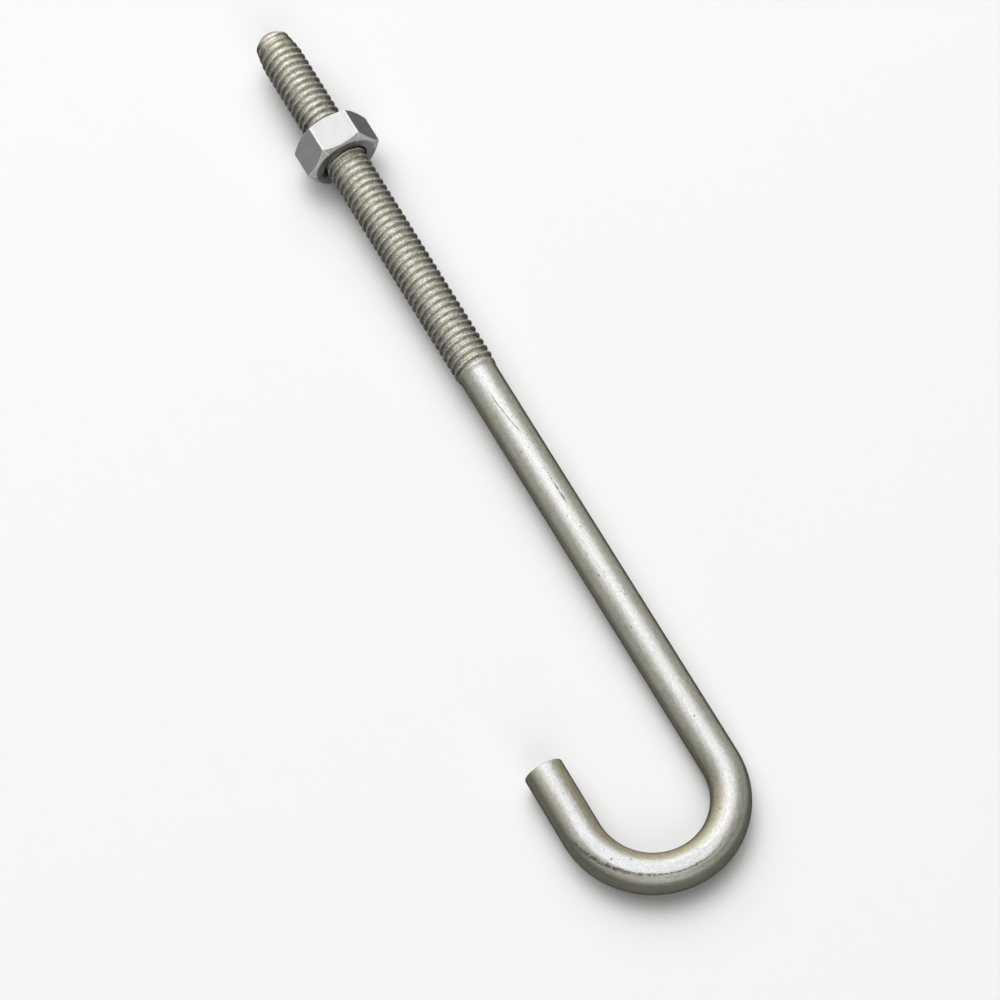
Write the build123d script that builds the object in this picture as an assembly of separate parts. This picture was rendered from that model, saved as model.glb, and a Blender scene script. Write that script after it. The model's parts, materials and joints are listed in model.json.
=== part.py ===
from build123d import *
import os
from math import asin, atan2, ceil, cos, degrees, hypot, radians, sin, tan

# Rod and hook
shank_diameter = 6.95
hook_inside_diameter = 19.45
hook_turn = 180.0
hook_leg_length = 13.1
hook_end_chamfer = 0.3
straight_length = 160.3

# Rolled thread, 18 turns to the inch, with its run-out towards the shank
thread_pitch = 25.4 / 18
thread_major_diameter = 7.78
thread_minor_diameter = 6.14
thread_length = 78.8
thread_runout_length = 2.1
first_crest_from_tip = 0.41

# Point: a flat end, a steep chamfer and a shallow lead over the first turns
point_flat_diameter = 3.8
point_chamfer_length = 1.2
lead_diameter = 6.4
lead_length = 4.0

# How far a helping solid stands clear of a surface that it would only touch
facing_clearance = 0.05

# How closely the resting place on the bend is worked out, in degrees
balance_accuracy = 1e-6

# Hexagon nut, and where it has been run to
nut_sides = 6
nut_across_flats = 12.6
nut_thickness = 6.75
nut_chamfer_diameter = 11.7
nut_chamfer_angle = 30.0
nut_countersink_diameter = 8.5
nut_countersink_angle = 45.0
nut_thread_clearance = 0.05
nut_from_tip = 29.47
nut_turned = -4.0

# Values that follow from the sizes above
shank_radius = shank_diameter / 2
bend_radius = hook_inside_diameter / 2 + shank_radius
thread_radius = thread_major_diameter / 2
thread_root_radius = thread_minor_diameter / 2
thread_start = straight_length - thread_length
full_thread_start = thread_start + thread_runout_length
last_root = straight_length - first_crest_from_tip + thread_pitch / 2
thread_turns = ceil((last_root - thread_start) / thread_pitch) + 1
first_root = last_root - thread_turns * thread_pitch
lead_start = straight_length - point_chamfer_length - lead_length
nut_seat = straight_length - nut_from_tip
nut_bore_radius = thread_radius + nut_thread_clearance
nut_side_angle = 360 / nut_sides
nut_corner_radius = nut_across_flats / 2 / cos(radians(nut_side_angle / 2))
nut_chamfer_depth = (nut_corner_radius - nut_chamfer_diameter / 2) * tan(radians(nut_chamfer_angle))


def bend_point(turn):
    """A point of the rod's centre line, a given angle round the bend."""
    angle = radians(turn)
    return Vector(-bend_radius * sin(angle), bend_radius * (1 - cos(angle)), 0)


def bend_direction(turn):
    """The direction of the rod there, from the shank towards the hook's end."""
    angle = radians(turn)
    return Vector(-cos(angle), sin(angle), 0)


def smooth_rod():
    """The unthreaded rod: straight shank, round bend and straight leg of one diameter."""
    shank = Line((thread_start, 0, 0), (0, 0, 0))
    bend = ThreePointArc((0, 0, 0), bend_point(hook_turn / 2), bend_point(hook_turn))
    leg_end = bend_point(hook_turn) + bend_direction(hook_turn) * hook_leg_length
    leg = Line(bend_point(hook_turn), leg_end)
    section = Plane(origin=shank @ 0, z_dir=shank % 0) * Circle(shank_radius)
    rod = sweep(section, path=shank + bend + leg)
    end_face = rod.faces().sort_by_distance(leg_end)[0]
    return chamfer(end_face.edges(), hook_end_chamfer)


def helix_turn(radius, height):
    """One turn of a helix of the thread's pitch, from a given height on its axis."""
    return Edge.make_helix(thread_pitch, thread_pitch, radius, center=(0, 0, height))


def thread_flanks(height):
    """The two flanks of one turn of thread, up from a root to the crest and down to the next root."""
    root = helix_turn(thread_root_radius, height)
    crest = helix_turn(thread_radius, height + thread_pitch / 2)
    next_root = helix_turn(thread_root_radius, height + thread_pitch)
    rising = Face.make_surface_from_curves(root, crest)
    falling = Face.make_surface_from_curves(crest, next_root)
    return [rising, falling]


def thread_closing(height):
    """The helical floor inside the root and the step beside it that close one end of the thread."""
    foot = (0, 0, height)
    head = (0, 0, height + thread_pitch)
    floor = Face.make_surface_from_curves(helix_turn(thread_root_radius, height), Edge.make_line(foot, head))
    root = (thread_root_radius, 0, height)
    crest = (thread_radius, 0, height + thread_pitch / 2)
    next_root = (thread_root_radius, 0, height + thread_pitch)
    step = Face(Wire.make_polygon([foot, root, crest, next_root, head], close=True))
    return [floor, step]


def endless_thread():
    """The right-hand thread with its core, reaching past both ends of the threaded length."""
    faces = thread_closing(first_root) + thread_closing(last_root)
    for turn in range(thread_turns):
        faces += thread_flanks(first_root + turn * thread_pitch)
    upright = Solid(Shell(faces))
    return Plane(origin=(0, 0, 0), x_dir=(0, 1, 0), z_dir=(1, 0, 0)) * upright


def thread_envelope():
    """What the threaded length may fill: the run-out, room for the crests, the lead and the point."""
    outside = thread_radius + facing_clearance
    outline = Polyline(
        (thread_start, 0),
        (thread_start, shank_radius),
        (full_thread_start, thread_radius),
        (full_thread_start, outside),
        (lead_start, outside),
        (lead_start, thread_radius),
        (straight_length - point_chamfer_length, lead_diameter / 2),
        (straight_length, point_flat_diameter / 2),
        (straight_length, 0),
        close=True,
    )
    return revolve(make_face(outline), axis=Axis.X)


def runout_core():
    """The cone on which the groove of the thread runs out into the shank."""
    outline = Polyline(
        (thread_start, 0),
        (thread_start, shank_radius),
        (full_thread_start, thread_root_radius - facing_clearance),
        (full_thread_start, 0),
        close=True,
    )
    return revolve(make_face(outline), axis=Axis.X)


def threaded_end():
    """The rolled thread from its run-out to its point."""
    return (endless_thread() & thread_envelope()) + runout_core()


def j_bolt():
    """The bent rod with its threaded end, one piece."""
    return smooth_rod() + threaded_end()


def nut_blank():
    """The hexagon bar of the nut, with both ends chamfered to a circle."""
    across = Plane.YZ * RegularPolygon(nut_across_flats / 2, nut_sides, False, rotation=nut_turned)
    envelope = Polyline(
        (0, 0),
        (0, nut_chamfer_diameter / 2),
        (nut_chamfer_depth, nut_corner_radius),
        (nut_thickness - nut_chamfer_depth, nut_corner_radius),
        (nut_thickness, nut_chamfer_diameter / 2),
        (nut_thickness, 0),
        close=True,
    )
    return extrude(across, nut_thickness) & revolve(make_face(envelope), axis=Axis.X)


def nut_hole():
    """The nut's hole with a countersink at each end, as a solid to take away."""
    countersink_radius = nut_countersink_diameter / 2
    depth = (countersink_radius - nut_bore_radius) / tan(radians(nut_countersink_angle))
    outline = Polyline(
        (0, 0),
        (0, countersink_radius),
        (depth, nut_bore_radius),
        (nut_thickness - depth, nut_bore_radius),
        (nut_thickness, countersink_radius),
        (nut_thickness, 0),
        close=True,
    )
    return revolve(make_face(outline), axis=Axis.X)


def hex_nut():
    """The nut where it has been run to on the thread."""
    return Pos(nut_seat, 0, 0) * (nut_blank() - nut_hole())


def lowest_nut_corner():
    """Where the nut touches the ground: the end nearer the hook of its lowest edge."""
    corners = [radians(nut_turned + nut_side_angle * side) for side in range(nut_sides)]
    lowest = min(corners, key=sin)
    return Vector(nut_seat + nut_chamfer_depth, nut_corner_radius * cos(lowest), nut_corner_radius * sin(lowest))


def hook_contact_turn(balance, nut_corner):
    """The angle round the bend at which the line from the nut through the balance point crosses the rod."""
    low, high = 0.0, hook_turn
    while high - low > balance_accuracy:
        turn = (low + high) / 2
        point = bend_point(turn)
        reach = (balance.X - nut_corner.X) / (point.X - nut_corner.X)
        side = nut_corner.Y + reach * (point.Y - nut_corner.Y)
        low, high = (turn, high) if side < balance.Y else (low, turn)
    return low


def balance_point(parts):
    """The centre of mass of all the parts together, in one material."""
    weighted = [part.center(CenterOf.MASS) * part.volume for part in parts]
    return sum(weighted, Vector()) / sum(part.volume for part in parts)


def lying_tilt(parts):
    """The axis and angle by which the bolt tips to lie on its hook and on one corner of the nut."""
    nut_corner = lowest_nut_corner()
    turn = hook_contact_turn(balance_point(parts), nut_corner)
    along_rod = bend_direction(turn)
    towards_nut = Vector(along_rod.Y, -along_rod.X, 0)
    span = (nut_corner - bend_point(turn)).dot(towards_nut)
    drop = -nut_corner.Z
    tilt = atan2(drop, span) - asin(shank_radius / hypot(span, drop))
    return Axis((0, 0, 0), -along_rod), degrees(tilt)


def lying(parts):
    """The parts as they lie on the ground, centred over the origin."""
    axis, tilt = lying_tilt(parts)
    tipped = [part.rotate(axis, tilt) for part in parts]
    box = Compound(tipped).bounding_box()
    shift = Location((-box.center().X, -box.center().Y, -box.min.Z))
    return [part.moved(shift) for part in tipped]


names = ["j_bolt", "hex_nut"]
parts = lying([j_bolt(), hex_nut()])
os.makedirs("parts", exist_ok=True)
for name, part in zip(names, parts):
    export_step(part, f"parts/{name}.step")
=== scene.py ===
import json
import math

import bpy
import numpy as np
from mathutils import Matrix, Vector, noise


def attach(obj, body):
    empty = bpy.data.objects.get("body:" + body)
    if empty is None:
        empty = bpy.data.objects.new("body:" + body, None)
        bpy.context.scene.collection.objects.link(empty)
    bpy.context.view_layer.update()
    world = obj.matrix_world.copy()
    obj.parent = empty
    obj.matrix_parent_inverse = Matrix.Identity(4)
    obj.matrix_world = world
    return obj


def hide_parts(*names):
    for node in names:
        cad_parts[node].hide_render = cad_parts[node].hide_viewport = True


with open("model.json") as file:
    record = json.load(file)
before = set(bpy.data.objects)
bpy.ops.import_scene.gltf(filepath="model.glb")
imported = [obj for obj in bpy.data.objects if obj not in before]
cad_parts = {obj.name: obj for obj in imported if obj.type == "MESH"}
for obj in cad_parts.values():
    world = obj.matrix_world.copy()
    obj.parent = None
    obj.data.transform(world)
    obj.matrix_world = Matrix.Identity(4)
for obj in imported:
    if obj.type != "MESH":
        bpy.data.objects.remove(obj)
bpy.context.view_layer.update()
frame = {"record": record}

# Sizes of the real object in millimetres, as in the part's source
MM = 0.001
SHANK_RADIUS = 3.475
BEND_RADIUS = 13.2
LEG_LENGTH = 13.1
STRAIGHT_LENGTH = 160.3
PITCH = 25.4 / 18
CREST_RADIUS = 3.89
PITCH_RADIUS = 3.40
ROOT_RADIUS = 3.10
THREAD_START = 81.5
THREAD_PHASE = 0.3076
FLARE_START = 81.75
LIP_PLACE = 82.8
LIP_RADIUS = 3.68
FIRST_GROOVE = 83.02
FIRST_GROOVE_EDGE = 0.26
POINT_FLAT_RADIUS = 1.9
POINT_CHAMFER_LENGTH = 1.2
LEAD_RADIUS = 3.2
LEAD_LENGTH = 4.0
NUT_SEAT = 130.83
NUT_THICKNESS = 6.75
NUT_HALF_FLATS = 6.3
NUT_CHAMFER_RADIUS = 5.85
NUT_CHAMFER_SLOPE = math.tan(math.radians(30))
NUT_COUNTERSINK_RADIUS = 4.25
NUT_MINOR_RADIUS = 3.34
NUT_MAJOR_RADIUS = 3.97
NUT_TURNED = math.radians(-4)

# How finely the meshes are divided
ROD_COLUMNS = 72
THREAD_SAMPLES = (0.0, 0.035, 0.07, 0.11, 0.17, 0.25, 0.33, 0.39, 0.44)
BEND_STEP = math.radians(2.5)
SHANK_RINGS = 24

FLANK_STEEPNESS = 1 / math.tan(math.radians(30))
CREST_ROUNDING = 0.12
ROOT_ROUNDING = 0.35
POINT_ROUNDING = 0.12
POINT_EDGE_ROUNDING = 0.15
POINT_CENTRE_RADIUS = 0.3
CREST_WEAR_DEPTH = 0.06

# The flat that the bending tool has pressed into the bend, by angle from the rod's top line and distance along it
TOOL_FLAT_ANGLE = math.radians(3)
TOOL_FLAT_HALF = math.radians(15)
TOOL_FLAT_FROM = (13.0, 19.0)
TOOL_FLAT_TO = (36.0, 41.0)
TOOL_FLAT_ROUNDING = 0.02

# The leg's sheared end
HOOK_END_ROUNDING = 0.28
HOOK_END_CROWN = 0.2

# The nut's columns by degrees from a corner, its roundings and how far its thread stands off the bolt's
NUT_CORNER_OFFSETS = (0.3, 0.6, 0.95, 1.5, 3.5, 7, 11, 15, 20, 25)
NUT_EDGE_ROUNDING = 0.17
NUT_CORNER_ROUNDING = 0.22
NUT_THREAD_ROUNDING = 0.1
NUT_FACE_ROUNDING = 0.12
NUT_THREAD_CLEARANCE = 0.07
NUT_THREAD_DEPTH = 0.7

# Where the nut's edges are worn bright: over each rounded edge from the face outwards, and by degrees from a corner
NUT_CIRCLE_WEAR = (0.0, 0.0, 0.15, 0.25, 0.35, 0.45, 0.5)
NUT_SIDE_WEAR = (0.5, 0.55, 0.75, 0.85, 0.7, 0.25, 0.0)
NUT_CORNER_WEAR = (0.6, 1.8)


def bolt_frame():
    """The bolt's own axes and scale in the row frame: x along the thread to its tip, y across to the hook's leg."""
    mounts = {m["name"]: m for m in frame["record"]["mounts"]}
    tip = mounts["threaded_end"]
    x = Vector(tip["axis"]).normalized()
    start = Vector(tip["pos_m"]) - x * STRAIGHT_LENGTH * MM
    across = Vector(mounts["hook_saddle"]["pos_m"]) - start
    y = (across - x * across.dot(x)).normalized()
    axes = Matrix((x, y, x.cross(y))).transposed().to_4x4()
    axes.translation = start
    return axes @ Matrix.Scale(MM, 4)


TO_ROW = bolt_frame()


def soft_min(a, b, width):
    """The smaller of two values, rounded where they cross."""
    share = np.clip(0.5 + 0.5 * (b - a) / width, 0, 1)
    return b + (a - b) * share - width * share * (1 - share)


def soft_max(a, b, width):
    return -soft_min(-np.asarray(a), -np.asarray(b), width)


def smooth_step(low, high, value):
    share = np.clip((value - low) / (high - low), 0, 1)
    return share * share * (3 - 2 * share)


def flank(phase):
    """Radius of a sharp 60 degree thread, its crest at phase 0 and its root at 0.5."""
    return PITCH_RADIUS + FLANK_STEEPNESS * PITCH * (0.25 - np.abs(phase))


# Meshes: rows of vertices round an axis, joined row to row


class Skin:
    """Collects vertices and faces of one closed surface."""

    def __init__(self):
        self.points = []
        self.places = []
        self.depths = []
        self.faces = []
        self.count = 0

    def add(self, points, places, depths):
        """Adds a row of vertices, with their place on the straight rod and their depth below its crests."""
        first = self.count
        self.points.append(np.asarray(points, float))
        self.places.append(np.asarray(places, float))
        self.depths.append(np.broadcast_to(np.asarray(depths, float), len(points)))
        self.count += len(points)
        return np.arange(first, self.count)

    def join(self, near, far):
        """Quads between two closed rows of equal length."""
        after_near, after_far = np.roll(near, -1), np.roll(far, -1)
        self.faces += np.stack([near, after_near, after_far, far], 1).tolist()

    def close(self, row, centre, flip):
        """A fan from a closed row to one centre vertex."""
        after = np.roll(row, -1)
        middle = np.full(len(row), centre)
        order = [after, row, middle] if flip else [row, after, middle]
        self.faces += np.stack(order, 1).tolist()

    def helix(self, rows, per_turn, inwards=False):
        """Joins rows that each climb one turn, so that the end of a row meets the start of the row one turn on."""
        faces = []
        for here, there in zip(rows[:-1], rows[1:]):
            faces += np.stack([here[:-1], here[1:], there[1:], there[:-1]], 1).tolist()
        last = len(rows) - 1
        for i in range(last - per_turn):
            faces.append([rows[i][-1], rows[i + per_turn][0], rows[i + per_turn + 1][0], rows[i + 1][-1]])
        for k in range(per_turn):
            faces.append([rows[0][-1], rows[k][0], rows[k + 1][0]])
            faces.append([rows[last - per_turn + k][-1], rows[last][0], rows[last - per_turn + k + 1][-1]])
        self.faces += [face[::-1] for face in faces] if inwards else faces

    def build(self, name):
        mesh = bpy.data.meshes.new(name)
        points = np.concatenate(self.points)
        turned = points @ np.array(TO_ROW.to_3x3()).T + np.array(TO_ROW.translation)
        mesh.from_pydata(turned.tolist(), [], self.faces)
        place = mesh.attributes.new("rod_place", "FLOAT_VECTOR", "POINT")
        place.data.foreach_set("vector", np.concatenate(self.places).astype(np.float32).ravel())
        depth = mesh.attributes.new("hollow", "FLOAT", "POINT")
        depth.data.foreach_set("value", np.concatenate(self.depths).astype(np.float32))
        mesh.shade_smooth()
        mesh.update()
        piece = bpy.data.objects.new(name, mesh)
        bpy.context.scene.collection.objects.link(piece)
        return piece


def thread_phases():
    """One turn's sample phases in order, symmetric about the crest, with one sample in the root."""
    rising = [-p for p in THREAD_SAMPLES[:0:-1]]
    return [-0.5] + rising + list(THREAD_SAMPLES)


def polar(x, radius, angles):
    return np.stack([np.broadcast_to(x, angles.shape), radius * np.cos(angles), radius * np.sin(angles)], 1)


def helix_rows(skin, low, high, angles, phases, shape):
    """Rows along the thread's helix from about low to high. shape gives each vertex's x, radius and depth."""
    rows = []
    climb = PITCH * angles / (2 * math.pi)
    first = math.ceil(low / PITCH - THREAD_PHASE - phases[0])
    last = math.floor(high / PITCH - THREAD_PHASE - phases[-1])
    for turn in range(first, last + 1):
        for phase in phases:
            along = PITCH * (turn + phase + THREAD_PHASE) + climb
            x, radius, depth = shape(along, phase, angles)
            points = polar(x, radius, angles)
            rows.append(skin.add(points, points, depth))
    return rows


def crest_wear(along, angles):
    """How far the rolled crest's seam opens at each place, from 0 to 1."""
    wear = [
        noise.noise(Vector((a * 0.55, 2.6 * math.cos(t), 2.6 * math.sin(t))))
        for a, t in zip(along, angles)
    ]
    return np.clip(np.array(wear) * 2.2 + 0.1, 0, 1)


def threaded_shape(along, phase, angles):
    """The bolt's thread with its run-out, its lead and its chamfered point, which runs on into the flat end."""
    radius = soft_max(soft_min(flank(phase), CREST_RADIUS, CREST_ROUNDING), ROOT_RADIUS, ROOT_ROUNDING)
    if phase == 0:
        radius = radius - CREST_WEAR_DEPTH * crest_wear(along, angles)
    flare = SHANK_RADIUS + (LIP_RADIUS - SHANK_RADIUS) * smooth_step(FLARE_START, LIP_PLACE, along)
    fade = smooth_step(FIRST_GROOVE, FIRST_GROOVE + FIRST_GROOVE_EDGE, along)
    radius = flare + (radius - flare) * fade
    chamfer_start = STRAIGHT_LENGTH - POINT_CHAMFER_LENGTH
    lead = LEAD_RADIUS + (chamfer_start - along) * (CREST_RADIUS - LEAD_RADIUS) / LEAD_LENGTH
    chamfer = POINT_FLAT_RADIUS + (STRAIGHT_LENGTH - along) * (LEAD_RADIUS - POINT_FLAT_RADIUS) / POINT_CHAMFER_LENGTH
    radius = soft_min(soft_min(radius, lead, POINT_ROUNDING), chamfer, POINT_ROUNDING)
    face = np.maximum(POINT_FLAT_RADIUS - (along - STRAIGHT_LENGTH), POINT_CENTRE_RADIUS)
    radius = np.where(along > STRAIGHT_LENGTH, face, radius)
    x = soft_min(along, STRAIGHT_LENGTH, POINT_EDGE_ROUNDING)
    depth = np.clip((CREST_RADIUS - radius) / (CREST_RADIUS - ROOT_RADIUS), 0, 1) * fade
    depth = depth * (1 - smooth_step(chamfer_start - 1, chamfer_start, along))
    return x, radius, depth


def rod_centre(distance):
    """Centre and two cross directions of the rod, a distance past the start of the bend towards the hook's end."""
    turn = min(max(distance / BEND_RADIUS, 0), math.pi)
    centre = Vector((-BEND_RADIUS * math.sin(turn), BEND_RADIUS * (1 - math.cos(turn)), 0))
    onward = Vector((-math.cos(turn), math.sin(turn), 0))
    if distance < 0:
        centre = Vector((-distance, 0, 0))
    elif distance > math.pi * BEND_RADIUS:
        centre += onward * (distance - math.pi * BEND_RADIUS)
    side = Vector((math.sin(turn), math.cos(turn), 0))
    return centre, side, onward


def tool_flat(distance, angles):
    """How far the flat of the bending tool lies below the round rod, at each angle."""
    share = smooth_step(*TOOL_FLAT_FROM, distance) * (1 - smooth_step(*TOOL_FLAT_TO, distance))
    from_middle = angles - math.pi / 2 - TOOL_FLAT_ANGLE
    reach = SHANK_RADIUS * np.cos(TOOL_FLAT_HALF * share) / np.maximum(np.cos(from_middle), 0.1)
    below = SHANK_RADIUS - soft_min(SHANK_RADIUS, reach, TOOL_FLAT_ROUNDING)
    return np.where(np.cos(from_middle) > 0.5, below, 0.0)


def ring(skin, distance, radius, angles, ahead=0.0):
    """A flat ring of vertices round the smooth rod."""
    centre, side, onward = rod_centre(distance)
    base = np.array(centre + onward * ahead)
    radii = (radius - tool_flat(distance, angles))[:, None]
    points = base + radii * (np.outer(np.cos(angles), side) + np.outer(np.sin(angles), (0, 0, 1)))
    places = polar(-distance - ahead, radius, angles)
    return skin.add(points, places, 0.0)


def hook_end(skin, angles, before):
    """The leg's sheared end: a rounded rim and a slightly crowned face."""
    end = math.pi * BEND_RADIUS + LEG_LENGTH
    for step in range(7):
        turn = math.radians(15 * step)
        radius = SHANK_RADIUS - HOOK_END_ROUNDING * (1 - math.cos(turn))
        ahead = HOOK_END_ROUNDING * (math.sin(turn) - 1) - HOOK_END_CROWN
        row = ring(skin, end, radius, angles, ahead)
        skin.join(row, before)
        before = row
    for share in (0.8, 0.6, 0.4, 0.2):
        radius = (SHANK_RADIUS - HOOK_END_ROUNDING) * share
        row = ring(skin, end, radius, angles, -HOOK_END_CROWN * share * share)
        skin.join(row, before)
        before = row
    tip, _, _ = rod_centre(end)
    middle = skin.add([tip], [(-end, 0, 0)], 0.0)[0]
    skin.close(before, middle, flip=True)


def make_bolt():
    """The whole bent and threaded rod as one closed mesh."""
    skin = Skin()
    angles = np.arange(ROD_COLUMNS) * 2 * math.pi / ROD_COLUMNS
    phases = thread_phases()
    low = THREAD_START - PITCH - 1.6
    high = STRAIGHT_LENGTH + PITCH * 0.95
    rows = helix_rows(skin, low, high, angles, phases, threaded_shape)
    skin.helix(rows, len(phases))
    point = skin.add([(STRAIGHT_LENGTH, 0, 0)], [(STRAIGHT_LENGTH, 0, 0)], 0.0)[0]
    skin.close(rows[-1], point, flip=False)
    before = rows[0]
    shank = np.linspace(THREAD_START - PITCH - 2.6, 0, SHANK_RINGS)
    turns = np.arange(BEND_STEP, math.pi, BEND_STEP) * BEND_RADIUS
    leg = math.pi * BEND_RADIUS + np.linspace(0, LEG_LENGTH - 2, 5)
    for distance in [*(-shank), *turns, *leg]:
        row = ring(skin, distance, SHANK_RADIUS, angles)
        skin.join(row, before)
        before = row
    hook_end(skin, angles, before)
    return skin.build("bolt_rod")


def nut_angles():
    """Column angles, close together at the hexagon's corners, in one turn from the first corner on."""
    steps = [0.0, *NUT_CORNER_OFFSETS, 30.0]
    steps += [60 - s for s in NUT_CORNER_OFFSETS[::-1]]
    return np.radians([60 * side + s for side in range(6) for s in steps])


def nut_side_radius(angles):
    """Distance from the axis to the hexagon's rounded outline."""
    turned = np.mod(angles - NUT_TURNED, math.pi / 3)
    near = NUT_HALF_FLATS / np.cos(turned - math.pi / 6)
    beyond = NUT_HALF_FLATS / np.cos(np.where(turned < math.pi / 6, turned + math.pi / 6, math.pi / 2 - turned))
    return soft_min(near, beyond, NUT_CORNER_ROUNDING)


def nut_thread_shape(along, phase, angles):
    """The nut's thread, its two countersinks, and the start of its flat end faces."""
    far = NUT_SEAT + NUT_THICKNESS
    radius = soft_min(flank(phase) + NUT_THREAD_CLEARANCE, NUT_MAJOR_RADIUS, NUT_THREAD_ROUNDING)
    for least in (
        NUT_MINOR_RADIUS,
        NUT_COUNTERSINK_RADIUS - (along - NUT_SEAT),
        NUT_COUNTERSINK_RADIUS - (far - along),
    ):
        radius = soft_max(radius, least, NUT_THREAD_ROUNDING)
    x = soft_min(soft_max(along, NUT_SEAT, NUT_FACE_ROUNDING), far, NUT_FACE_ROUNDING)
    depth = np.where((along > NUT_SEAT) & (along < far), NUT_THREAD_DEPTH, 0.0)
    return x, radius, depth


def rounded_corner(before, corner, after, reach):
    """Points that round a corner of an outline, on arrays of x and radius."""
    (ax, ar), (cx, cr), (bx, br) = before, corner, after
    to_before = np.hypot(ax - cx, ar - cr)
    to_after = np.hypot(bx - cx, br - cr)

    def towards_before(way):
        return cx + (ax - cx) * way / to_before, cr + (ar - cr) * way / to_before

    def towards_after(way):
        return cx + (bx - cx) * way / to_after, cr + (br - cr) * way / to_after

    start, end = towards_before(reach), towards_after(reach)
    points = [towards_before(1.6 * reach)]
    for t in (0.0, 0.25, 0.5, 0.75, 1.0):
        rounded = [(1 - t) ** 2 * s + 2 * t * (1 - t) * c + t * t * e for s, c, e in zip(start, corner, end)]
        points.append(tuple(rounded))
    points.append(towards_after(1.6 * reach))
    return points


def nut_outline(angles):
    """The nut's outer outline at each angle, with its wear: chamfer, side and chamfer, from face to face."""
    side = nut_side_radius(angles)
    flat = np.ones_like(angles)
    rise = (side - NUT_CHAMFER_RADIUS) * NUT_CHAMFER_SLOPE
    far = NUT_SEAT + NUT_THICKNESS
    corners = [
        (NUT_SEAT * flat, (NUT_CHAMFER_RADIUS - 0.5) * flat),
        (NUT_SEAT * flat, NUT_CHAMFER_RADIUS * flat),
        (NUT_SEAT + rise, side),
        (far - rise, side),
        (far * flat, NUT_CHAMFER_RADIUS * flat),
        (far * flat, (NUT_CHAMFER_RADIUS - 0.5) * flat),
    ]
    wears = (NUT_CIRCLE_WEAR, NUT_SIDE_WEAR, NUT_SIDE_WEAR[::-1], NUT_CIRCLE_WEAR[::-1])
    outline = []
    for before, corner, after, wear in zip(corners, corners[1:], corners[2:], wears):
        rounding = rounded_corner(before, corner, after, NUT_EDGE_ROUNDING * 0.6)
        outline += [(x, radius, worn) for (x, radius), worn in zip(rounding, wear)]
    return outline


def make_nut():
    """The hexagon nut with its thread as one closed mesh."""
    skin = Skin()
    angles = nut_angles() + NUT_TURNED
    phases = thread_phases()
    low = NUT_SEAT - PITCH - 0.16
    high = NUT_SEAT + NUT_THICKNESS + PITCH + 0.16
    rows = helix_rows(skin, low, high, angles, phases, nut_thread_shape)
    skin.helix(rows, len(phases), inwards=True)
    first, before = None, None
    turned = np.degrees(np.mod(angles - NUT_TURNED, math.pi / 3))
    corner_wear = 1 - smooth_step(*NUT_CORNER_WEAR, np.minimum(turned, 60 - turned))
    for x, radius, worn in nut_outline(angles):
        points = polar(x, radius, angles)
        row = skin.add(points, points, -np.maximum(corner_wear, worn))
        if before is None:
            first = row
        else:
            skin.join(before, row)
        before = row
    skin.join(rows[0], first)
    skin.join(before, rows[-1])
    return skin.build("nut_hexagon")


bolt = make_bolt()
nut = make_nut()

# Materials. Colours are as seen in plain light, except the painted light and painted shade named below. Gloss is the
# shader's roughness

DARK_EDGE = (0.0, 0.0, 0.0)
# Painted shade: the rod's zinc darkens from its lit top line towards its sides, over the plating's own olive tint
NEUTRAL_ZINC = (0.61, 0.615, 0.61)
OLIVE_AND_SHADE_ZINC = (0.49, 0.475, 0.37)
# Painted shade: a dark olive on the low sides of the rod and of the thread, where they turn away from the light
PAINTED_SHADE_OLIVE_ZINC = (0.125, 0.12, 0.095)
YELLOW_ZINC = (0.55, 0.51, 0.365)
BURNISHED_ZINC = (0.62, 0.625, 0.63)
# Painted light: the thread's roots and crests are written much lighter than the shank's zinc
PAINTED_LIGHT_THREAD_ZINC = (0.93, 0.92, 0.88)
# The thread's flanks: a brown that is partly the plating's tint and partly painted shade
THREAD_BROWN_AND_SHADE = (0.42, 0.38, 0.265)
NUT_ZINC = (0.315, 0.32, 0.315)
NUT_ZINC_CLOUD = (0.293, 0.298, 0.285)
NUT_WORN_EDGE = (0.74, 0.745, 0.73)
# Painted shade inside the nut's threaded bore
NUT_SHADED = (0.10, 0.095, 0.085)
# The colour of pits and marks, also used for the painted shadow along the thread's first groove
PIT_AND_SHADOW_COLOUR = (0.12, 0.115, 0.10)
SHANK_GLOSS = 0.575
THREAD_GLOSS = 0.55
NUT_GLOSS = 0.46
ROD_GLOSS_SWING = 0.12
PIT_GLOSS = 0.2
NUT_GLOSS_SWING = 0.16
ROD_BUMP_MM = 0.06
NUT_BUMP_MM = 0.012

# Where masks are 0 and 1. Angles are in radians from the rod's top line, positive on the bend's outer side. Places
# are in millimetres along the rod, negative in the bend and the leg. Depths run from 0 at a crest to 1 at a root
POINT_START = STRAIGHT_LENGTH - POINT_CHAMFER_LENGTH
POINT_PLACES = (POINT_START - 0.4, POINT_START + 0.4)
THREAD_PLACES = (LIP_PLACE, FIRST_GROOVE)
END_FACE_RADII = (2.9, 3.25)
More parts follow.
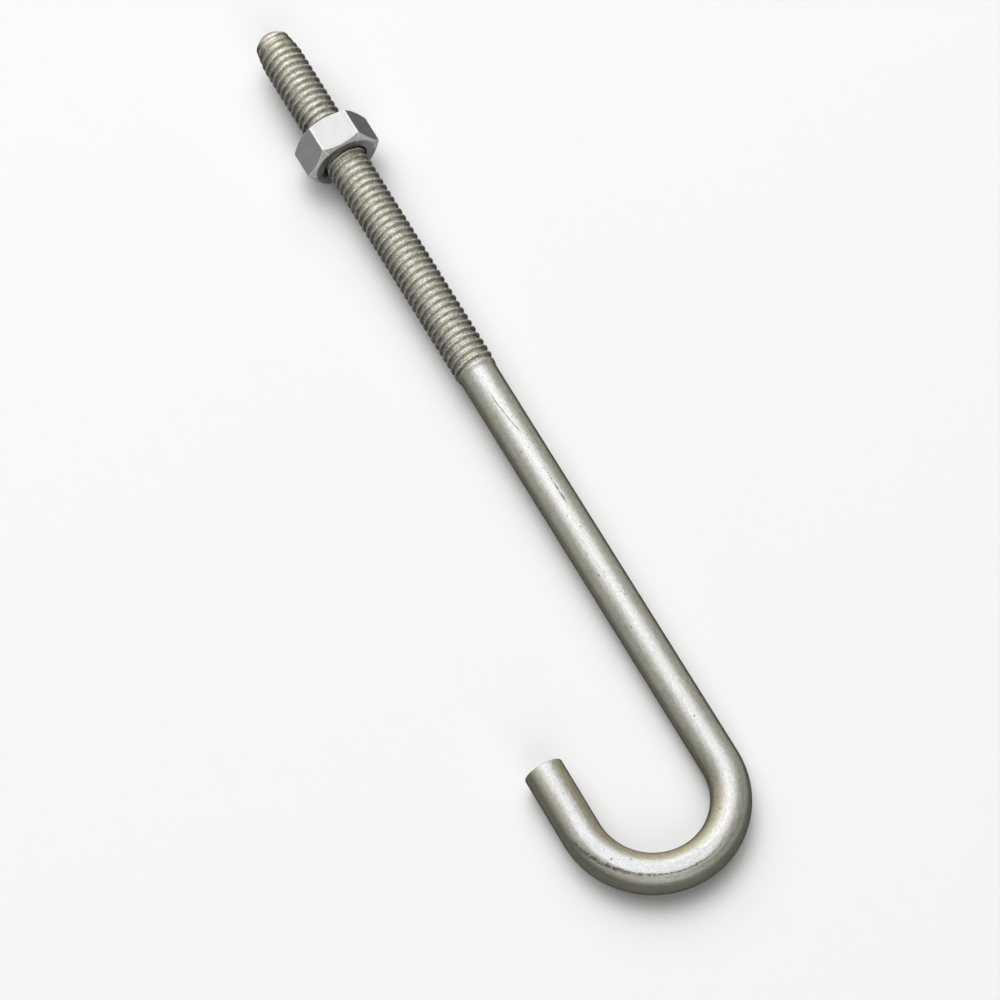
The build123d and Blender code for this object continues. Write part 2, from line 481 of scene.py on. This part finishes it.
# The rod's top line, where the light falls, from which the painted shade on the sides is measured
LIT_TOP_ANGLE = math.radians(-6)
SIDE_ANGLES = (0.15, 0.65)
THREAD_SIDE_SHADE_ANGLES = (0.45, 1.1)
SIDE_SHADE_ANGLES = (0.75, 1.25)
SIDE_SHADE_LEAN = 1.25
INNER_BEND_ANGLES = (-0.15, -0.6)
INNER_BEND_PLACES = (-1.0, -9.0)
BURNISHED_ANGLES = ((-0.35, -0.1), (0.42, 0.32))
BURNISHED_PLACES = ((-14.0, -19.0), (-47.0, -40.0))
LIP_SHADOW_REACH = (0.14, 0.05)
LIP_SHADOW_ANGLES = ((-0.75, -0.5), (0.35, 0.1))
CREST_DEPTHS = (0.10, 0.03)
FLANK_DEPTHS = (0.04, 0.25)
ROOT_DEPTHS = (0.65, 0.92)
NUT_THREAD_DEPTHS = (0.2, 0.7)

# Shares of the colours: a factor and an offset for what each depends on
OLIVE_AND_SHADE_BY_SIDE = (0.75, 0.15)
OLIVE_AND_SHADE_BY_CLOUD = (0.8, 0.45)
YELLOW_SHARE = 0.75
SIDE_SHADE_SHARE = 0.8
THREAD_SIDE_SHADE_SHARE = 0.7
BROWN_BY_CLOUD = (0.4, 0.6)
ROOT_PAINTED_LIGHT_SHARE = 0.85
CONTRAST_BY_THREAD = (0.30, 0.50)
STREAK_SHADE = 0.15

# Noises: stretch per millimetre along and across, detail, roughness
RAGGED_NOISE = ((1.4, 3.0, 3.0), 4.0)
CLOUD_NOISE = ((0.16, 0.42, 0.42), 4.0)
BROWN_NOISE = ((0.5, 0.9, 0.9), 5.0, 0.65)
STREAK_NOISE = ((0.05, 3.2, 3.2), 4.0, 0.6)
COARSE_NOISE = ((1.0, 2.9, 2.9), 5.0, 0.7)
FINE_NOISE = ((3.4, 6.0, 6.0), 3.0, 0.6)
NICK_NOISE = ((1.3, 2.2, 2.2), 3.0)
DASH_NOISE = ((1.1, 0.3, 0.3), 4.0)
TOOL_NOISE = ((1.6, 2.2, 2.2), 5.0, 0.7)
BREAK_NOISE = ((3.6, 1.2, 1.2), 3.0, 0.6)
NUT_CLOUD_NOISE = ((0.5, 0.5, 0.5), 3.0)
NUT_GRAIN_NOISE = ((2.5, 3.5, 3.5), 5.0, 0.6)

# Small pits: cells per millimetre, radius in mm, share of the cells without one
ROD_PITS = (0.42, 0.15, 0.70)
THREAD_PITS = (1.1, 0.14, 0.62)
NUT_PITS = (0.5, 0.12, 0.75)
PIT_CORE = 0.35

# Single marks on the rod: place along it, angle from its top line in degrees, radius in mm, darkness
ROD_MARKS = (
    (8.0, -7, 0.20, 0.85),
    (27.0, -26, 0.32, 0.40),
    (37.8, -27, 0.34, 0.50),
    (32.5, 10, 0.22, 0.80),
    (47.0, 3, 0.18, 0.75),
    (59.6, 4, 0.20, 0.85),
    (64.3, -30, 0.24, 0.60),
    (-34.4, 8, 0.22, 0.85),
    (-31.5, -13, 0.20, 0.75),
    (-10.0, -32, 0.30, 0.45),
)
MARK_RAGGEDNESS, MARK_CORE = 0.25, 0.3

# The dashed seam and the long scratch, which curves from the first angle to minus the second
SEAM_PLACES = ((51.5, 53.0), (60.0, 57.0))
SEAM_ANGLE = math.radians(5.5)
SEAM_WIDTH = (0.045, 0.018)
SCRATCH_FROM, SCRATCH_TO = 67.0, 78.0
SCRATCH_PLACES = ((67.0, 68.0), (78.0, 75.0))
SCRATCH_SWEEP, SCRATCH_END, SCRATCH_CURVE = math.radians(19), math.radians(16), 1.9
SCRATCH_WIDTH = (0.040, 0.012)

# The rough line beside the bending tool's flat, which sweeps up towards the leg
TOOL_LINE_ANGLE = math.radians(20.5)
TOOL_SWEEP_PLACE, TOOL_SWEEP_LENGTH = -24.0, 17.0
TOOL_SWEEP, TOOL_SWEEP_CURVE = math.radians(27), 2.2
TOOL_LINE_SHAKE = 0.30
TOOL_LINE_WIDENS = (-26.0, -36.0)
TOOL_LINE_WIDTH = (0.09, 0.06)
TOOL_LINE_PLACES = ((-42.0, -39.5), (-15.5, -20.0))


class Nodes:
    """Short ways to build a material's node tree."""

    def __init__(self, name):
        self.material = bpy.data.materials.new(name)
        self.material.use_nodes = True
        self.tree = self.material.node_tree
        self.shader = self.tree.nodes["Principled BSDF"]

    def put(self, socket, value):
        """Links a socket to another, or sets it to a number or colour."""
        if isinstance(value, bpy.types.NodeSocket):
            self.tree.links.new(value, socket)
        elif isinstance(value, tuple) and len(value) == 3 and socket.type == "RGBA":
            socket.default_value = (*value, 1)
        else:
            socket.default_value = value

    def attribute(self, name, output):
        node = self.tree.nodes.new("ShaderNodeAttribute")
        node.attribute_name = name
        return node.outputs[output]

    def math(self, operation, first, second=0.0):
        node = self.tree.nodes.new("ShaderNodeMath")
        node.operation = operation
        self.put(node.inputs[0], first)
        self.put(node.inputs[1], second)
        return node.outputs[0]

    def vector_math(self, operation, vector, other):
        node = self.tree.nodes.new("ShaderNodeVectorMath")
        node.operation = operation
        self.put(node.inputs[0], vector)
        self.put(node.inputs["Scale" if operation == "SCALE" else 1], other)
        return node.outputs["Value" if operation == "DISTANCE" else "Vector"]

    def split(self, vector):
        node = self.tree.nodes.new("ShaderNodeSeparateXYZ")
        self.put(node.inputs[0], vector)
        return node.outputs

    def join(self, x, y):
        node = self.tree.nodes.new("ShaderNodeCombineXYZ")
        self.put(node.inputs[0], x)
        self.put(node.inputs[1], y)
        return node.outputs[0]

    def noise(self, vector, stretch, detail=3.0, roughness=0.55):
        """Noise from about 0 to 1, stretched by the three factors per millimetre."""
        node = self.tree.nodes.new("ShaderNodeTexNoise")
        self.put(node.inputs["Vector"], self.vector_math("MULTIPLY", vector, stretch))
        node.inputs["Scale"].default_value = 1.0
        node.inputs["Detail"].default_value = detail
        node.inputs["Roughness"].default_value = roughness
        return node.outputs["Fac"]

    def step(self, value, low, high):
        """A smooth rise from 0 at low to 1 at high, or a fall when low is the larger."""
        node = self.tree.nodes.new("ShaderNodeMapRange")
        node.interpolation_type = "SMOOTHSTEP"
        node.clamp = True
        self.put(node.inputs["Value"], value)
        rising = low < high
        node.inputs["From Min"].default_value = low if rising else high
        node.inputs["From Max"].default_value = high if rising else low
        node.inputs["To Min"].default_value = 0.0 if rising else 1.0
        node.inputs["To Max"].default_value = 1.0 if rising else 0.0
        return node.outputs["Result"]

    def between(self, value, near, far):
        """1 between two ends, each given as where it is 0 and where it is 1."""
        return self.times(self.step(value, *near), self.step(value, *far))

    def blend(self, share, first, second):
        """The first colour, passing into the second by a share."""
        node = self.tree.nodes.new("ShaderNodeMix")
        node.data_type = "RGBA"
        self.put(node.inputs["Factor"], share)
        self.put(node.inputs[6], first)
        self.put(node.inputs[7], second)
        return node.outputs[2]

    def times(self, *values):
        product = values[0]
        for value in values[1:]:
            product = self.math("MULTIPLY", product, value)
        return product

    def most(self, *values):
        largest = values[0]
        for value in values[1:]:
            largest = self.math("MAXIMUM", largest, value)
        return largest

    def rest(self, share):
        """What a share leaves of 1."""
        return self.math("SUBTRACT", 1.0, share)

    def linear(self, value, factor, offset):
        return self.math("ADD", self.math("MULTIPLY", value, factor), offset)

    def swing(self, value, amount):
        """A value from 0 to 1, as a swing to both sides of zero."""
        return self.math("MULTIPLY", self.math("SUBTRACT", value, 0.5), amount)

    def away(self, value, middle):
        """How far a value lies from a middle, on either side."""
        return self.math("ABSOLUTE", self.math("SUBTRACT", value, middle))

    def bump(self, height, distance_mm):
        node = self.tree.nodes.new("ShaderNodeBump")
        node.inputs["Strength"].default_value = 1.0
        node.inputs["Distance"].default_value = distance_mm * MM
        self.put(node.inputs["Height"], height)
        return node.outputs["Normal"]

    def finish_metal(self, colour, roughness, normal):
        self.put(self.shader.inputs["Base Color"], colour)
        self.put(self.shader.inputs["Roughness"], roughness)
        self.put(self.shader.inputs["Normal"], normal)
        self.put(self.shader.inputs["Metallic"], 1.0)
        self.put(self.shader.inputs["Specular Tint"], DARK_EDGE)
        return self.material


def unroll(n, place, radius):
    """Place along the rod, angle from its top line, distance from its axis, and the first two laid flat."""
    x, y, z = n.split(place)
    angle = n.math("ARCTAN2", n.math("MULTIPLY", y, -1.0), z)
    from_axis = n.vector_math("DISTANCE", n.join(y, z), (0, 0, 0))
    return x, angle, from_axis, n.join(x, n.math("MULTIPLY", angle, radius))


def single_marks(n, unrolled, ragged):
    """The single marks on the smooth rod, each from 0 to its darkness."""
    wobble = n.swing(ragged, MARK_RAGGEDNESS)
    marks = []
    for along, degrees, size, darkness in ROD_MARKS:
        middle = (along, math.radians(degrees) * SHANK_RADIUS, 0)
        off_middle = n.vector_math("DISTANCE", unrolled, middle)
        spot = n.step(n.math("ADD", off_middle, wobble), size, size * MARK_CORE)
        marks.append(n.math("MULTIPLY", spot, darkness))
    return marks


def seam(n, place, angle, x):
    """The dashed seam along the shank."""
    near = n.step(n.away(angle, SEAM_ANGLE), *SEAM_WIDTH)
    dashes = n.step(n.noise(place, *DASH_NOISE), 0.38, 0.55)
    return n.times(near, n.between(x, *SEAM_PLACES), dashes, 0.95)


def scratch(n, ragged, angle, x):
    """The long curved scratch near the thread."""
    left = n.math("DIVIDE", n.math("SUBTRACT", SCRATCH_TO, x), SCRATCH_TO - SCRATCH_FROM)
    curve = n.math("POWER", n.math("MAXIMUM", left, 0.0), SCRATCH_CURVE)
    line = n.math("SUBTRACT", n.math("MULTIPLY", curve, SCRATCH_SWEEP), SCRATCH_END)
    near = n.step(n.away(angle, line), *SCRATCH_WIDTH)
    return n.times(near, n.between(x, *SCRATCH_PLACES), n.step(ragged, 0.30, 0.55), 0.6)


def rod_marks(n, place, unrolled, angle, x):
    """Where the seam, the long scratch and the single marks lie on the smooth rod, from 0 to 1."""
    ragged = n.noise(place, *RAGGED_NOISE)
    marks = single_marks(n, unrolled, ragged)
    return n.most(*marks, seam(n, place, angle, x), scratch(n, ragged, angle, x))


def small_pits(n, unrolled, per_mm, radius_mm, bare_share):
    """Small pits over the unrolled surface, from 0 to 1: one to a cell, with none in a share of the cells."""
    node = n.tree.nodes.new("ShaderNodeTexVoronoi")
    node.voronoi_dimensions = "2D"
    n.put(node.inputs["Vector"], unrolled)
    node.inputs["Scale"].default_value = per_mm
    chosen = n.step(n.split(node.outputs["Color"])[0], bare_share, bare_share + 0.04)
    reach = radius_mm * per_mm
    return n.times(n.step(node.outputs["Distance"], reach, reach * PIT_CORE), chosen)


def tool_line(n, place, angle, x):
    """The rough dark line along the outer edge of the bending tool's flat."""
    past = n.math("DIVIDE", n.math("SUBTRACT", TOOL_SWEEP_PLACE, x), TOOL_SWEEP_LENGTH)
    curve = n.math("POWER", n.math("MAXIMUM", past, 0.0), TOOL_SWEEP_CURVE)
    line = n.linear(curve, TOOL_SWEEP, TOOL_LINE_ANGLE)
    shake = n.swing(n.noise(place, *TOOL_NOISE), TOOL_LINE_SHAKE)
    off_line = n.math("ADD", n.math("SUBTRACT", angle, line), shake)
    width = n.linear(n.step(x, *TOOL_LINE_WIDENS), *TOOL_LINE_WIDTH)
    near = n.step(n.math("DIVIDE", n.math("ABSOLUTE", off_line), width), 1.0, 0.3)
    broken = n.step(n.noise(place, *BREAK_NOISE), 0.36, 0.58)
    return n.times(near, n.linear(broken, 0.75, 0.25), n.between(x, *TOOL_LINE_PLACES))


def shank_colour(n, place, angle, x, outside, painted_side_shade):
    """Neutral and lighter along the top line where the light falls, darker with a yellow-green tint towards the
    sides, yellow inside the bend, burnished on the tool's flat. The darkening towards the sides is painted shade,
    darkest on the low sides.
    """
    # Painted shade with the plating's olive tint: the colour darkens away from the lit top line
    side = n.times(n.step(n.away(angle, LIT_TOP_ANGLE), *SIDE_ANGLES), outside)
    cloud = n.noise(place, *CLOUD_NOISE)
    olive_and_shade = n.times(n.linear(side, *OLIVE_AND_SHADE_BY_SIDE), n.linear(cloud, *OLIVE_AND_SHADE_BY_CLOUD))
    colour = n.blend(olive_and_shade, NEUTRAL_ZINC, OLIVE_AND_SHADE_ZINC)
    inner_bend = n.times(n.step(angle, *INNER_BEND_ANGLES), n.step(x, *INNER_BEND_PLACES), outside)
    colour = n.blend(n.math("MULTIPLY", inner_bend, YELLOW_SHARE), colour, YELLOW_ZINC)
    on_flat = n.times(n.between(angle, *BURNISHED_ANGLES), n.between(x, *BURNISHED_PLACES))
    colour = n.blend(on_flat, colour, BURNISHED_ZINC)
    # Painted shade: the low sides turn dark olive
    return n.blend(n.math("MULTIPLY", painted_side_shade, SIDE_SHADE_SHARE), colour, PAINTED_SHADE_OLIVE_ZINC)


def thread_colour(n, place, hollow, angle, painted_side_shade):
    """Roots and crests in a zinc much lighter than the shank's, painted light; brownish flanks, partly their own tint
    and partly painted shade; painted shade darkens the thread at the sides.
    """
    brown_cloud = n.step(n.noise(place, *BROWN_NOISE), 0.32, 0.62)
    in_root = n.math("MULTIPLY", n.step(hollow, *ROOT_DEPTHS), ROOT_PAINTED_LIGHT_SHARE)
    on_flank = n.times(n.step(hollow, *FLANK_DEPTHS), n.rest(in_root))
    brown_and_shade = n.times(on_flank, n.linear(brown_cloud, *BROWN_BY_CLOUD))
    # Painted light on roots and crests, painted shade in part on the flanks and fully on the low sides
    colour = n.blend(brown_and_shade, PAINTED_LIGHT_THREAD_ZINC, n.blend(painted_side_shade, THREAD_BROWN_AND_SHADE, PAINTED_SHADE_OLIVE_ZINC))
    # Painted shade: the thread darkens at the sides away from the lit top line
    side = n.step(n.away(angle, LIT_TOP_ANGLE), *THREAD_SIDE_SHADE_ANGLES)
    return n.blend(n.math("MULTIPLY", side, THREAD_SIDE_SHADE_SHARE), colour, PAINTED_SHADE_OLIVE_ZINC)


def rod_zinc():
    """Dull zinc on the bolt: streaked along the rod, browner and brighter in the thread, pitted and scratched. The
    thread's brightness and part of its brownness are painted light and shade, the rod's sides carry painted shade,
    and a painted shadow lies along the thread's first groove.
    """
    n = Nodes("zinc_on_rod")
    place = n.attribute("rod_place", "Vector")
    hollow = n.attribute("hollow", "Fac")
    x, angle, from_axis, unrolled = unroll(n, place, SHANK_RADIUS)
    off_point = n.rest(n.step(x, *POINT_PLACES))
    threaded = n.times(n.step(x, *THREAD_PLACES), off_point)
    outside = n.times(n.step(from_axis, *END_FACE_RADII), off_point)
    # Painted shade on the rod's low sides, reaching nearer the top line on the bend's outer side
    from_above = n.most(n.math("MULTIPLY", angle, SIDE_SHADE_LEAN), n.math("MULTIPLY", angle, -1.0))
    painted_side_shade = n.times(n.step(from_above, *SIDE_SHADE_ANGLES), outside)
    on_shank = shank_colour(n, place, angle, x, outside, painted_side_shade)
    colour = n.blend(threaded, on_shank, thread_colour(n, place, hollow, angle, painted_side_shade))

    streak = n.noise(place, *STREAK_NOISE)
    coarse = n.step(n.noise(place, *COARSE_NOISE), 0.34, 0.66)
    fine = n.step(n.noise(place, *FINE_NOISE), 0.36, 0.64)
    grain = n.math("ADD", n.math("MULTIPLY", coarse, 0.45), n.math("MULTIPLY", fine, 0.55))
    lines = n.step(streak, 0.54, 0.68)
    shade = n.math("ADD", n.swing(grain, n.linear(threaded, *CONTRAST_BY_THREAD)), 1.0)
    shade = n.math("SUBTRACT", shade, n.math("MULTIPLY", lines, STREAK_SHADE))
    shaded = n.vector_math("SCALE", colour, shade)

    # Painted shadow: a dark line along the thread's first groove
    near_lip = n.step(n.away(x, FIRST_GROOVE), *LIP_SHADOW_REACH)
    dark = n.most(
        n.times(rod_marks(n, place, unrolled, angle, x), n.rest(threaded)),
        n.times(small_pits(n, unrolled, *ROD_PITS), 0.7),
        n.times(small_pits(n, unrolled, *THREAD_PITS), threaded, 0.5),
        n.times(tool_line(n, place, angle, x), 0.85),
        n.times(near_lip, n.between(angle, *LIP_SHADOW_ANGLES), 0.8),
    )
    crest = n.times(n.step(hollow, *CREST_DEPTHS), threaded)
    nicks = n.times(crest, n.step(n.noise(place, *NICK_NOISE), 0.40, 0.60), 0.6)
    colour = n.blend(n.most(dark, nicks), shaded, PIT_AND_SHADOW_COLOUR)

    gloss = n.linear(threaded, THREAD_GLOSS - SHANK_GLOSS, SHANK_GLOSS)
    gloss = n.math("ADD", gloss, n.swing(grain, ROD_GLOSS_SWING))
    gloss = n.math("ADD", gloss, n.math("MULTIPLY", dark, PIT_GLOSS))
    height = n.math("ADD", n.math("MULTIPLY", grain, 0.35), n.math("MULTIPLY", streak, 0.25))
    height = n.math("SUBTRACT", height, n.math("MULTIPLY", dark, 0.6))
    return n.finish_metal(colour, gloss, n.bump(height, ROD_BUMP_MM))


def nut_zinc():
    """Smoother zinc on the nut, worn bright at its edges and corners, with painted shade darkening its threaded bore.
    """
    n = Nodes("zinc_on_nut")
    place = n.attribute("rod_place", "Vector")
    hollow = n.attribute("hollow", "Fac")
    unrolled = unroll(n, place, NUT_HALF_FLATS)[3]
    cloud = n.step(n.noise(place, *NUT_CLOUD_NOISE), 0.3, 0.7)
    grain = n.noise(place, *NUT_GRAIN_NOISE)
    colour = n.blend(cloud, NUT_ZINC, NUT_ZINC_CLOUD)
    # Painted shade: the nut's thread inside its bore is darkened
    colour = n.blend(n.times(n.step(hollow, *NUT_THREAD_DEPTHS), 0.9), colour, NUT_SHADED)
    colour = n.blend(n.times(small_pits(n, unrolled, *NUT_PITS), 0.35), colour, PIT_AND_SHADOW_COLOUR)
    worn = n.times(n.step(hollow, 0.0, -1.0), n.linear(n.step(grain, 0.35, 0.6), 0.5, 0.5))
    colour = n.blend(worn, colour, NUT_WORN_EDGE)
    gloss = n.math("ADD", n.swing(grain, NUT_GLOSS_SWING), NUT_GLOSS)
    return n.finish_metal(colour, gloss, n.bump(grain, NUT_BUMP_MM))


bolt.data.materials.append(rod_zinc())
nut.data.materials.append(nut_zinc())
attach(bolt, "bolt")
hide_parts("j_bolt")
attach(nut, "nut")
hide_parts("hex_nut")


# Floor, light and camera

CAMERA_FOCUS_PIXELS = 3594.4165
IMAGE_PIXELS = 1000
SENSOR_WIDTH = 36.0
CAMERA_PLACE = (-163.05655, 144.493755, 556.891672)
CAMERA_RIGHT = (-0.48916523, -0.87201265, 0.01764414)
CAMERA_DOWN = (-0.7936938, 0.4366618, -0.42352878)
CAMERA_FORWARD = (0.36161793, -0.2211796, -0.9057108)


def make_camera():
    """The photograph's camera, placed in the bolt's own axes."""
    data = bpy.data.cameras.new("camera")
    data.sensor_width = SENSOR_WIDTH
    data.lens = CAMERA_FOCUS_PIXELS / IMAGE_PIXELS * SENSOR_WIDTH
    data.clip_start = 0.01
    data.clip_end = 20
    camera = bpy.data.objects.new("camera", data)
    bpy.context.scene.collection.objects.link(camera)
    turn = TO_ROW.to_3x3() * (1 / MM)
    right, down, forward = (turn @ Vector(v) for v in (CAMERA_RIGHT, CAMERA_DOWN, CAMERA_FORWARD))
    axes = Matrix((right, -down, -forward)).transposed().to_4x4()
    axes.translation = TO_ROW @ Vector(CAMERA_PLACE)
    camera.matrix_world = axes
    bpy.context.scene.camera = camera


FLOOR_RADIUS, FLOOR_CURVE, BACKDROP_HEIGHT = 2.6, 0.5, 0.9
FLOOR_SECTORS = 96
FLOOR_CURVE_STEPS = 12

# The paper as it lights the object, and as the camera, metal and glass see it
FLOOR_GREY = (0.70, 0.70, 0.70)
FLOOR_WHITE = (0.86, 0.86, 0.86)


def floor_paper():
    """Plain paper, whiter to the camera and in reflections than in the light that it sends back."""
    n = Nodes("floor_paper")
    rays = n.tree.nodes.new("ShaderNodeLightPath").outputs
    seen = n.most(rays["Is Camera Ray"], rays["Is Glossy Ray"], rays["Is Transmission Ray"])
    n.put(n.shader.inputs["Base Color"], n.blend(seen, FLOOR_GREY, FLOOR_WHITE))
    n.put(n.shader.inputs["Roughness"], 0.9)
    n.put(n.shader.inputs["Specular IOR Level"], 0.0)
    return n.material


def make_floor():
    """A round paper floor whose rim curves up into a low backdrop."""
    mesh = bpy.data.meshes.new("floor")
    outline = [(FLOOR_RADIUS, 0.0)]
    for step in range(1, FLOOR_CURVE_STEPS + 1):
        turn = math.pi / 2 * step / FLOOR_CURVE_STEPS
        outline.append((FLOOR_RADIUS + FLOOR_CURVE * math.sin(turn), FLOOR_CURVE * (1 - math.cos(turn))))
    outline.append((FLOOR_RADIUS + FLOOR_CURVE, BACKDROP_HEIGHT))
    turns = [2 * math.pi * i / FLOOR_SECTORS for i in range(FLOOR_SECTORS)]
    points = [(radius * math.cos(t), radius * math.sin(t), height) for radius, height in outline for t in turns]
    faces = [list(range(FLOOR_SECTORS))]
    for row in range(len(outline) - 1):
        for i in range(FLOOR_SECTORS):
            near, far = row * FLOOR_SECTORS, (row + 1) * FLOOR_SECTORS
            after = (i + 1) % FLOOR_SECTORS
            faces.append((near + i, far + i, far + after, near + after))
    mesh.from_pydata(points, [], faces)
    floor = bpy.data.objects.new("floor", mesh)
    bpy.context.scene.collection.objects.link(floor)
    mesh.materials.append(floor_paper())


def area_light(name, direction, size, power):
    """A round soft light that shines on the object from a direction in the bolt's own axes."""
    data = bpy.data.lights.new(name, "AREA")
    data.shape = "DISK"
    data.size = size
    data.energy = power
    light = bpy.data.objects.new(name, data)
    bpy.context.scene.collection.objects.link(light)
    towards = (TO_ROW.to_3x3() @ Vector(direction)).normalized()
    light.location = Vector((0, 0, 0.003)) + towards * LIGHT_DISTANCE
    light.rotation_mode = "QUATERNION"
    light.rotation_quaternion = towards.to_track_quat("Z", "Y")


# Lights: direction from the object, size in metres, power in watts. The key stands above the bolt and towards its
# tip, a wider light from the same direction softens it, and a third lights the hook's side
KEY_DIRECTION = (0.50, -0.04, 0.865)
KEY_SIZE, KEY_POWER = 1.3, 20.5
OVERHEAD_SIZE, OVERHEAD_POWER = 3.1, 46.0
HOOK_SIDE_DIRECTION = (-0.75, 0.2, 0.6)
HOOK_SIDE_SIZE, HOOK_SIDE_POWER = 1.5, 11.9
LIGHT_DISTANCE = 2.0
WORLD_STRENGTH = 0.0

make_camera()
make_floor()
area_light("key", KEY_DIRECTION, KEY_SIZE, KEY_POWER)
area_light("overhead", KEY_DIRECTION, OVERHEAD_SIZE, OVERHEAD_POWER)
area_light("hook_side", HOOK_SIDE_DIRECTION, HOOK_SIDE_SIZE, HOOK_SIDE_POWER)

world = bpy.data.worlds.new("studio")
bpy.context.scene.world = world
world.use_nodes = True
background = world.node_tree.nodes["Background"]
background.inputs["Color"].default_value = (1, 1, 1, 1)
background.inputs["Strength"].default_value = WORLD_STRENGTH

bpy.context.scene.view_settings.view_transform = "Standard"
